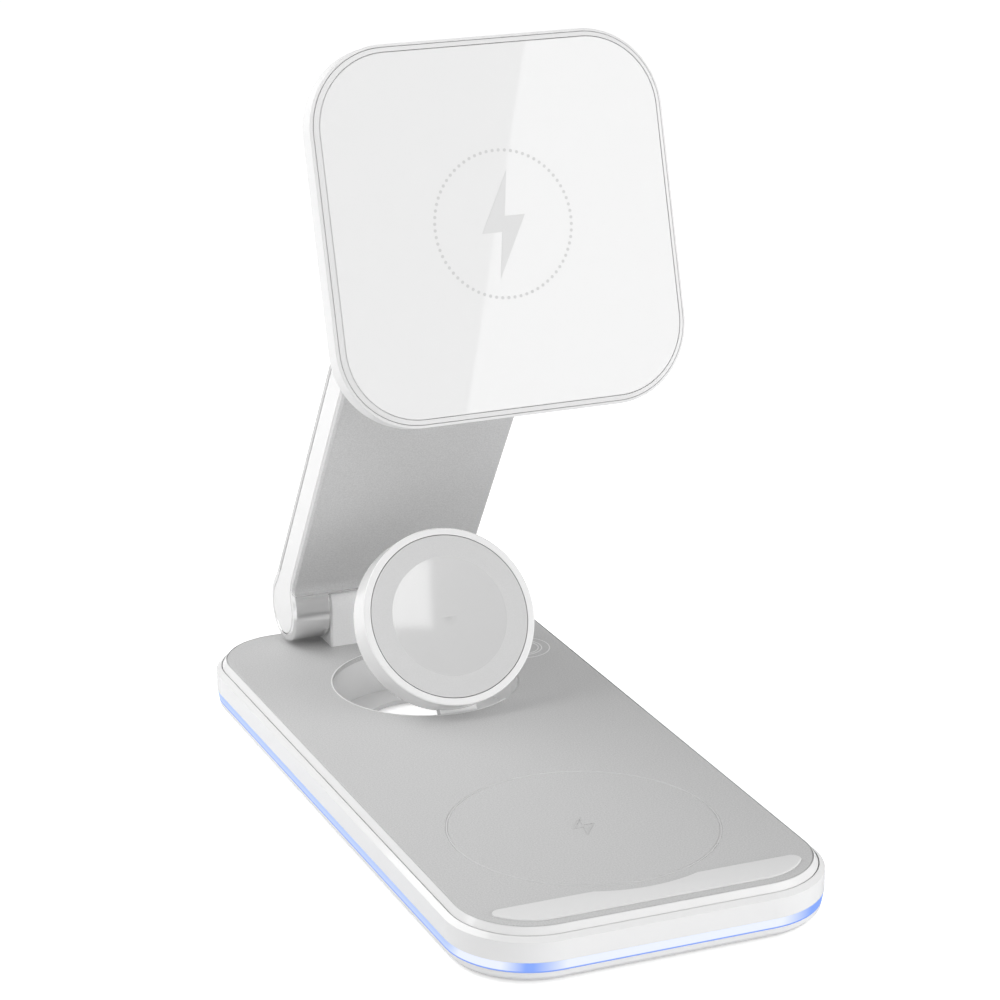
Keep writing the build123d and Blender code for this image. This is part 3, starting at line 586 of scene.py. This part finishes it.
# %% Finish of the arm
BARREL_RADIUS = 8.6 * MM
BARREL_BORDER = 1.2 * MM
BARREL_ROUGHNESS = 0.22
BARREL_METALLIC = 1.0
BARREL_GREY = grey(0.87)
FLAT_METALLIC = 0.2
hinge_axis = {joint["name"]: Vector(joint["pos_m"]) for joint in record["behaviour"]["joints"]}["arm_fold"]


def build_arm_metal():
    """Blasted aluminium with a turned barrel."""
    material = finish("blasted_aluminium", grey(0.615), 0.34, grain=0.3, contrast=0.48, bump=0.003, edge=0.25)
    tree = material.node_tree
    shader = tree.nodes["Principled BSDF"]
    blasted = shader.inputs["Roughness"].links[0].from_socket
    barrel = fade(tree, distance_from(tree, hinge_axis, (0.0, 1.0, 1.0)), BARREL_RADIUS, BARREL_BORDER)
    grained = shader.inputs["Base Color"].links[0].from_socket
    tone = node(tree, "ShaderNodeMixRGB", {"Fac": barrel, "Color1": grained, "Color2": BARREL_GREY})
    metal = node(tree, "ShaderNodeMix", {"Factor": barrel, "A": FLAT_METALLIC, "B": BARREL_METALLIC})
    rough = node(tree, "ShaderNodeMix", {"Factor": barrel, "A": blasted, "B": BARREL_ROUGHNESS})
    tree.links.new(tone.outputs["Color"], shader.inputs["Base Color"])
    tree.links.new(metal.outputs["Result"], shader.inputs["Metallic"])
    tree.links.new(rough.outputs["Result"], shader.inputs["Roughness"])
    return material


finishes["satin_silver_metal"] = build_arm_metal()
print("arm hinge axis in mm", [round(v / MM, 2) for v in hinge_axis])

# %% [markdown]
# Coils are flat spirals of copper wire. They are inside the casing, but each still gets a finish of its
# own, because the pieces are also used by themselves. A sine of the distance from a coil's middle gives
# the height of its turns.

# %% Finish of the coils
COPPER = (0.62, 0.27, 0.12, 1.0)
WIRE_PITCH = 0.55 * MM
WIRE_RELIEF = 0.1 * MM
coil_nodes = [name for name, slot in slot_of_node.items() if slot == "copper_wire"]


def build_coil(node_name):
    """Copper wire wound round the middle of a coil."""
    low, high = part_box(node_name)
    material = finish(node_name + "_wire", COPPER, 0.32, grain=0.3, contrast=0.1, Metallic=1.0)
    tree = material.node_tree
    shader = tree.nodes["Principled BSDF"]
    turns = node(
        tree,
        "ShaderNodeMath",
        {0: distance_from(tree, (low + high) / 2), 1: 2 * pi / WIRE_PITCH},
        operation="MULTIPLY",
    )
    wave = node(tree, "ShaderNodeMath", {0: turns.outputs[0]}, operation="SINE")
    relief = shader.inputs["Normal"].links[0].from_node
    relief.inputs["Distance"].default_value = WIRE_RELIEF
    tree.links.new(wave.outputs[0], relief.inputs["Height"])
    return material


coil_finishes = {name: build_coil(name) for name in coil_nodes}
print("coils", coil_nodes)

# %% [markdown]
# Circuit boards are green with a net of paler tracks. A brick pattern makes the net: its mortar is the
# tracks, and its bricks are two greens that hardly differ.

# %% Finish of the circuit boards
BOARD_GREEN = (0.02, 0.16, 0.07, 1.0)
PATCH_GREEN = (0.025, 0.19, 0.08, 1.0)
TRACK_GREEN = (0.08, 0.33, 0.16, 1.0)
TRACK_PITCH = 1.6 * MM
TRACK_SHARE = 0.06


def build_circuit_board():
    """Green board with a net of paler tracks."""
    material = finish("green_board", BOARD_GREEN, 0.36, grain=0.5, contrast=0.1)
    tree = material.node_tree
    shader = tree.nodes["Principled BSDF"]
    place = node(tree, "ShaderNodeTexCoord")
    tracks = node(
        tree,
        "ShaderNodeTexBrick",
        {
            "Vector": place.outputs["Object"],
            "Scale": 1 / TRACK_PITCH,
            "Color1": BOARD_GREEN,
            "Color2": PATCH_GREEN,
            "Mortar": TRACK_GREEN,
            "Mortar Size": TRACK_SHARE,
        },
    )
    tree.links.new(tracks.outputs["Color"], shader.inputs["Base Color"])
    return material


finishes["circuit_board"] = build_circuit_board()
print("tracks every", TRACK_PITCH / MM, "mm")

# %% [markdown]
# Every solid names its material slot in the record, and the slot gives the finish. Only the coils, each
# wound round its own middle, and the hinge blocks have a finish of their own; the hinge blocks' is a
# lighter copy of the silver metal, painted light against the shade they stand in.

# %% Paint every solid of the frame
own_finishes = coil_finishes | {"hinge_block": lit_silver_copy, "pad_hinge_block": lit_silver_copy}
for name, solid in frame["nodes"].items():
    paint = own_finishes.get(name) or finishes[slot_of_node[name]]
    solid.data.materials.clear()
    solid.data.materials.append(paint)
print("painted", len(frame["nodes"]), "solids")

# %% [markdown]
# The floor is a plain white sheet. To the camera it glows a little, as a sheet lit from below does, so
# that it stays white up to the object. The object itself sees only the sheet's own pale grey.

# %% Floor finish
FLOOR_GLOW = 0.5
floor_paper = finish(
    "white_paper", grey(0.88), 0.9, grain=0.8, contrast=0.01, bump=0.0, Specular_IOR_Level=0.0
)
paper_tree = floor_paper.node_tree
paper_shader = paper_tree.nodes["Principled BSDF"]
paper_shader.inputs["Emission Color"].default_value = grey(1.0)
light_path = node(paper_tree, "ShaderNodeLightPath")
glow = node(
    paper_tree,
    "ShaderNodeMath",
    {0: light_path.outputs["Is Camera Ray"], 1: FLOOR_GLOW},
    operation="MULTIPLY",
)
paper_tree.links.new(glow.outputs[0], paper_shader.inputs["Emission Strength"])
floor.data.materials.append(floor_paper)
print("floor glows to the camera by", FLOOR_GLOW)

# %% [markdown]
# New pieces are modelled as by hand: a primitive is added, shaped in edit mode and given its finish.
# These helpers start a piece with nothing else selected, pick edges by place and faces by normal, and at
# the end bake the piece's place into its mesh and let it ride on a body of the frame.

# %% Modelling helpers


def new_piece(add, **size):
    """Adds a primitive with nothing else selected and returns it."""
    bpy.ops.object.select_all(action="DESELECT")
    add(**size)
    return bpy.context.object


def edit_mode(kind="FACE"):
    """Enters edit mode with everything selected."""
    bpy.ops.object.mode_set(mode="EDIT")
    bpy.ops.mesh.select_mode(type=kind)
    bpy.ops.mesh.select_all(action="SELECT")


def object_mode():
    """Leaves edit mode with all faces turned outwards."""
    bpy.ops.mesh.select_all(action="SELECT")
    bpy.ops.mesh.normals_make_consistent(inside=False)
    bpy.ops.object.mode_set(mode="OBJECT")


def select_edges(piece, test):
    """In edit mode, selects the edges whose two ends pass a test."""
    bpy.ops.mesh.select_mode(type="EDGE")
    bpy.ops.mesh.select_all(action="DESELECT")
    mesh = bmesh.from_edit_mesh(piece.data)
    for edge in mesh.edges:
        edge.select_set(test(edge.verts[0].co, edge.verts[1].co))
    bmesh.update_edit_mesh(piece.data)


def select_faces(piece, test):
    """In edit mode, selects the faces whose middle and normal pass a test."""
    bpy.ops.mesh.select_mode(type="FACE")
    bpy.ops.mesh.select_all(action="DESELECT")
    mesh = bmesh.from_edit_mesh(piece.data)
    for face in mesh.faces:
        face.select_set(test(face.calc_center_median(), face.normal))
    bmesh.update_edit_mesh(piece.data)


def thicken(height):
    """Pulls the selected flat face up into a thin solid."""
    bpy.ops.mesh.extrude_region_move(TRANSFORM_OT_translate={"value": (0.0, 0.0, height)})


def settle(piece, name, body, paint, place=(0.0, 0.0, 0.0), tilt=0.0):
    """Turns a piece about X, moves it to its place, bakes both into its mesh and lets it ride."""
    bpy.ops.object.select_all(action="DESELECT")
    piece.select_set(True)
    bpy.context.view_layer.objects.active = piece
    piece.rotation_euler = (tilt, 0.0, 0.0)
    piece.location = place
    bpy.ops.object.transform_apply(location=True, rotation=True, scale=True)
    piece.name = name
    piece.data.name = name
    piece.data.materials.clear()
    piece.data.materials.append(paint)
    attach(piece, body)
    print(name, "has", len(piece.data.polygons), "faces")
    return piece


# %% [markdown]
# The phone pad carries a printed mark: a ring of fine dots with a plain lightning sign inside. Printing
# has no depth to speak of, so each shape is a film of a few hundredths of a millimetre on the glass. One
# dot is modelled and then spun round the ring as copies.

# %% Ring of dots on the pad
INK_THICK = 0.02 * MM
MARK_RISE = 0.45 * MM
DOT_RING_RADIUS = 13.74 * MM
DOT_COUNT = 70
DOT_RADIUS = 0.31 * MM
DOT_SIDES = 16
INK_BEVEL = 0.006 * MM
pad_centre = Vector(mounts["phone_face"]["pos_m"])
pad_normal = Vector(mounts["phone_face"]["axis"])
pad_tilt = Vector((0.0, 0.0, 1.0)).angle(pad_normal)
pad_up = Vector((0.0, cos(pad_tilt), sin(pad_tilt)))
mark_centre = pad_centre + pad_up * MARK_RISE
dot_ink = finish("grey_ink", grey(0.59), 0.30, grain=0.5, contrast=0.03, bump=0.0, edge=0.05)


def dot_ring():
    """A ring of thin round dots, spun from one."""
    ring = new_piece(
        bpy.ops.mesh.primitive_circle_add, vertices=DOT_SIDES, radius=DOT_RADIUS, fill_type="NGON"
    )
    edit_mode()
    thicken(INK_THICK)
    bpy.ops.mesh.inset(thickness=INK_BEVEL)
    bpy.ops.mesh.select_all(action="SELECT")
    bpy.ops.transform.translate(value=(DOT_RING_RADIUS, 0.0, 0.0))
    last = 2 * pi * (DOT_COUNT - 1) / DOT_COUNT
    bpy.ops.mesh.spin(
        steps=DOT_COUNT - 1, dupli=True, angle=last, center=(0.0, 0.0, 0.0), axis=(0.0, 0.0, 1.0)
    )
    object_mode()
    return ring


dots = dot_ring()
settle(dots, "pad_mark_dots", "pad", dot_ink, mark_centre, pad_tilt)

# %% [markdown]
# The lightning sign has six corners, and its lower half is its upper half turned half round. It starts
# as a six sided disc whose corners are moved to their places, so that any size of it can be made.

# %% Lightning sign on the pad
BOLT_CORNERS = 6
BOLT_HEIGHT = 20.2 * MM
BOLT_WIDTH = 9.0 * MM
BOLT_LEAN = 1.8 * MM
BOLT_STEP = 2.9 * MM
BOLT_NECK = 0.4 * MM
mark_ink = finish("pale_grey_ink", grey(0.66), 0.30, grain=0.5, contrast=0.03, bump=0.0, edge=0.05)


def bolt_outline(width, height):
    """The six corners of a lightning sign; the lower three are the upper three turned half round."""
    upper = [
        (BOLT_LEAN, BOLT_HEIGHT / 2),
        (-BOLT_WIDTH / 2, -BOLT_STEP / 2),
        (-BOLT_NECK, -BOLT_STEP / 2),
    ]
    corners = upper + [(-x, -y) for x, y in upper]
    return [Vector((x * width / BOLT_WIDTH, y * height / BOLT_HEIGHT, 0.0)) for x, y in corners]


def bolt_face(width, height):
    """A flat face in the shape of a lightning sign, started from a six sided circle."""
    sign = new_piece(
        bpy.ops.mesh.primitive_circle_add, vertices=BOLT_CORNERS, radius=BOLT_WIDTH, fill_type="NGON"
    )
    for corner, place in zip(sign.data.vertices, bolt_outline(width, height)):
        corner.co = place
    return sign


bolt = bolt_face(BOLT_WIDTH, BOLT_HEIGHT)
edit_mode()
thicken(INK_THICK)
bpy.ops.mesh.inset(thickness=INK_BEVEL)
object_mode()
settle(bolt, "pad_mark_bolt", "pad", mark_ink, mark_centre, pad_tilt)

# %% [markdown]
# A bead stands in the groove round the earbud place. Its pale grey is a painted highlight, the light
# line that the groove's walls catch. Its section is a small circle, which is stood upright and spun round
# the place's middle.

# %% Bead round the earbud place
BEAD_RING_RADIUS = 25.7 * MM
BEAD_RADIUS = 0.16 * MM
BEAD_SINK = 0.10 * MM
BEAD_SIDES = 10
BEAD_STEPS = 180
earbud_centre = Vector(mounts["earbud_place"]["pos_m"])
# painted highlight: the bead's grey is paler than the plate's, for the light line along the groove
bead_highlight_paint = finish("bead_highlight_paint", grey(0.62), 0.4, grain=0.3, contrast=0.1, bump=0.0, edge=0.05)


def bead_ring():
    """A thin round bead, spun from its section."""
    bead = new_piece(bpy.ops.mesh.primitive_circle_add, vertices=BEAD_SIDES, radius=BEAD_RADIUS)
    bead.rotation_euler = (pi / 2, 0.0, 0.0)
    bead.location = (BEAD_RING_RADIUS, 0.0, -BEAD_SINK)
    bpy.ops.object.transform_apply(location=True, rotation=True, scale=True)
    edit_mode("EDGE")
    bpy.ops.mesh.spin(steps=BEAD_STEPS, angle=2 * pi, center=(0.0, 0.0, 0.0), axis=(0.0, 0.0, 1.0))
    object_mode()
    bpy.ops.object.shade_smooth()
    return bead


settle(bead_ring(), "earbud_ring", "base", bead_highlight_paint, earbud_centre)

# %% [markdown]
# The earbud place has the same lightning sign as a fine raised outline in the plate's own paint. An
# outline is a flat face with an inset whose middle is taken out.

# %% Raised sign of the earbud place
LINE_RISE = 0.09 * MM
EARBUD_SIGN_WIDTH = 4.9 * MM
EARBUD_SIGN_HEIGHT = 8.0 * MM
EARBUD_LINE = 0.24 * MM


def outline_of(face, width, rise):
    """Turns a flat face into a thin raised outline."""
    edit_mode()
    bpy.ops.mesh.inset(thickness=width)
    bpy.ops.mesh.delete(type="FACE")
    bpy.ops.mesh.select_all(action="SELECT")
    thicken(rise)
    object_mode()
    return face


sign = outline_of(bolt_face(EARBUD_SIGN_WIDTH, EARBUD_SIGN_HEIGHT), EARBUD_LINE, LINE_RISE)
settle(sign, "earbud_mark", "base", finishes["satin_silver_plastic"], earbud_centre)

# %% [markdown]
# The touch switch is a place on the plate with three thin pale rings. Each ring is the outline of a round
# disc, as thin as the print on the pad.

# %% Rings of the touch switch
TOUCH_CENTRE = Vector((25.7, 48.4, 0.0)) * MM
TOUCH_RINGS = {"outer": 6.1 * MM, "middle": 4.4 * MM, "inner": 3.7 * MM}
TOUCH_LINE = 0.24 * MM
RING_SIDES = 96
plate_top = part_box("top_plate")[1].z
touch_ink = finish("white_ink", grey(0.84), 0.4, grain=0.5, contrast=0.02, bump=0.0, edge=0.05)

for name, radius in TOUCH_RINGS.items():
    disc = new_piece(bpy.ops.mesh.primitive_circle_add, vertices=RING_SIDES, radius=radius, fill_type="NGON")
    outline_of(disc, TOUCH_LINE, INK_THICK)
    place = TOUCH_CENTRE + Vector((0.0, 0.0, plate_top))
    settle(disc, "touch_ring_" + name, "base", touch_ink, place)

# %% [markdown]
# The well that the watch puck folds into is lined with white plastic, and the liner ends in a thin white lip
# on the plate; the lip's white also stands as a painted highlight along the well's edge. It is open at the
# front, where the puck's lug goes under the plate. A small upright face is spun round the well's middle.

# %% Lip of the puck's well
WELL_CENTRE = Vector((0.0, 39.3, 0.0)) * MM
WELL_RADIUS = 19.3 * MM
LIP_GAP = 0.04 * MM
LIP_WIDTH = 0.28 * MM
LIP_RISE = 0.05 * MM
LIP_TURN = radians(290)
LIP_STEPS = 116


def well_lip():
    """A thin ring of rectangular section, open at the front."""
    lip = new_piece(bpy.ops.mesh.primitive_plane_add, size=1.0)
    lip.scale = (LIP_WIDTH, LIP_RISE, 1.0)
    lip.rotation_euler = (pi / 2, 0.0, 0.0)
    lip.location = (WELL_RADIUS + LIP_GAP + LIP_WIDTH / 2, 0.0, LIP_RISE / 2)
    bpy.ops.object.transform_apply(location=True, rotation=True, scale=True)
    edit_mode()
    first = (pi - LIP_TURN) / 2
    bpy.ops.transform.rotate(value=-first, orient_axis="Z", center_override=(0.0, 0.0, 0.0))
    bpy.ops.mesh.spin(steps=LIP_STEPS, angle=LIP_TURN, center=(0.0, 0.0, 0.0), axis=(0.0, 0.0, 1.0))
    object_mode()
    return lip


lip_place = WELL_CENTRE + Vector((0.0, 0.0, plate_top))
# the lip's white is partly a painted highlight along the well's edge
settle(well_lip(), "well_lip", "base", touch_ink, lip_place)

# %% [markdown]
# A larger piece can be cut from blocks. One helper makes a block and rounds its two upright edges at one
# depth, and another cuts a piece with a tool or keeps what the two share.

# %% Block helpers
NEAR = 0.01 * MM


def upright_edge(y):
    """Test for upright edges at one depth."""
    return lambda a, b: abs(a.z - b.z) > NEAR and abs(a.y - y) < NEAR and abs(b.y - y) < NEAR


def rounded_block(low, high, rounded_y, radius, segments):
    """A block whose two upright edges at one depth are rounded."""
    block = new_piece(bpy.ops.mesh.primitive_cube_add, size=1.0, location=(low + high) / 2)
    block.scale = high - low
    bpy.ops.object.transform_apply(location=True, rotation=True, scale=True)
    edit_mode("EDGE")
    select_edges(block, upright_edge(rounded_y))
    bpy.ops.mesh.bevel(offset=radius, segments=segments, affect="EDGES")
    object_mode()
    return block


def boolean(piece, tool, operation):
    """Cuts a piece with a tool, or keeps what they share, and takes the tool away."""
    step = piece.modifiers.new("step", "BOOLEAN")
    step.operation = operation
    step.object = tool
    bpy.ops.object.select_all(action="DESELECT")
    piece.select_set(True)
    bpy.context.view_layer.objects.active = piece
    bpy.ops.object.modifier_apply(modifier=step.name)
    bpy.data.objects.remove(tool)


# %% [markdown]
# The strip at the front is soft silicone that keeps an earbud case from sliding off. Its front follows the
# base's round corners, its rear corners are small, and a shallow hollow follows the ring groove. Two
# rounded blocks are intersected, the hollow is cut with a round cutter, and the upper edge is rolled over.

# %% Silicone strip
BASE_CORNER = 16.2 * MM
STRIP_REAR_CORNER = 1.6 * MM
STRIP_EDGE = 0.18 * MM
CORNER_SEGMENTS = 24
REAR_SEGMENTS = 8
EDGE_SEGMENTS = 4
FACING_UP = 0.9
SMOOTH_ANGLE = radians(40)
HOLLOW_RADIUS = 28.85 * MM
CUTTER_SIDES = 240
SPARE = 2.0 * MM
base_low, base_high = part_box("base_frame")
bumper_low, bumper_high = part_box("bumper_strip")


def silicone_strip():
    """A soft bar with a round hollow in its rear side."""
    margin = bumper_low.y - base_low.y
    corner = BASE_CORNER - margin
    side = base_high.x - margin
    low = Vector((-side, bumper_low.y, bumper_low.z))
    high = Vector((side, bumper_low.y + corner + SPARE, bumper_high.z))
    bar = rounded_block(low, high, bumper_low.y, corner, CORNER_SEGMENTS)
    spare = Vector((0.0, SPARE, SPARE))
    keep = rounded_block(
        bumper_low - spare,
        Vector((bumper_high.x, bumper_high.y, bumper_high.z + SPARE)),
        bumper_high.y,
        STRIP_REAR_CORNER,
        REAR_SEGMENTS,
    )
    boolean(bar, keep, "INTERSECT")
    cutter = new_piece(
        bpy.ops.mesh.primitive_cylinder_add,
        vertices=CUTTER_SIDES,
        radius=HOLLOW_RADIUS,
        depth=SPARE,
        location=(earbud_centre.x, earbud_centre.y, bumper_high.z),
    )
    boolean(bar, cutter, "DIFFERENCE")
    edit_mode()
    select_faces(bar, lambda middle, normal: normal.z > FACING_UP)
    bpy.ops.mesh.region_to_loop()
    bpy.ops.mesh.bevel(offset=STRIP_EDGE, segments=EDGE_SEGMENTS, affect="EDGES")
    object_mode()
    bpy.ops.object.shade_smooth_by_angle(angle=SMOOTH_ANGLE)
    return bar


bumper = settle(silicone_strip(), "silicone_strip", "base", finishes["silicone"])
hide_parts("bumper_strip")

# %% [markdown]
# The power socket's tongue has a row of gold contacts on each face. One contact is a thin bar with a
# bevelled edge, and the others are copies of it, side by side.

# %% Socket contacts
CONTACT_COUNT = 8
CONTACT_PITCH = 0.62 * MM
CONTACT_SIZE = Vector((0.30, 3.6, 0.06)) * MM
CONTACT_BEVEL = 0.02 * MM
TONGUE_THICK = 0.7 * MM
TONGUE_FRONT_GAP = 1.2 * MM
GOLD = (0.85, 0.62, 0.28, 1.0)
socket_low, socket_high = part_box("power_socket")
gold = finish(
    "gold_contact", GOLD, 0.25, grain=0.2, contrast=0.05, bump=0.0, edge=0.02, Metallic=1.0
)


def contact_row(name, side):
    """A row of contacts on the upper (+1) or lower (-1) face of the socket's tongue."""
    bar = new_piece(bpy.ops.mesh.primitive_cube_add, size=1.0)
    bar.scale = CONTACT_SIZE
    bpy.ops.object.transform_apply(location=False, rotation=False, scale=True)
    edit_mode("EDGE")
    bpy.ops.mesh.bevel(offset=CONTACT_BEVEL, segments=1, affect="EDGES")
    object_mode()
    row = bar.modifiers.new("row", "ARRAY")
    row.count = CONTACT_COUNT
    row.use_relative_offset = False
    row.use_constant_offset = True
    row.constant_offset_displace = (CONTACT_PITCH, 0.0, 0.0)
    bpy.ops.object.modifier_apply(modifier=row.name)
    middle = (socket_low + socket_high) / 2
    place = Vector((
        -CONTACT_PITCH * (CONTACT_COUNT - 1) / 2,
        socket_high.y - TONGUE_FRONT_GAP - CONTACT_SIZE.y / 2,
        middle.z + side * (TONGUE_THICK + CONTACT_SIZE.z) / 2,
    ))
    return settle(bar, name, "base", gold, place)


contact_row("socket_contacts_upper", 1)
contact_row("socket_contacts_lower", -1)
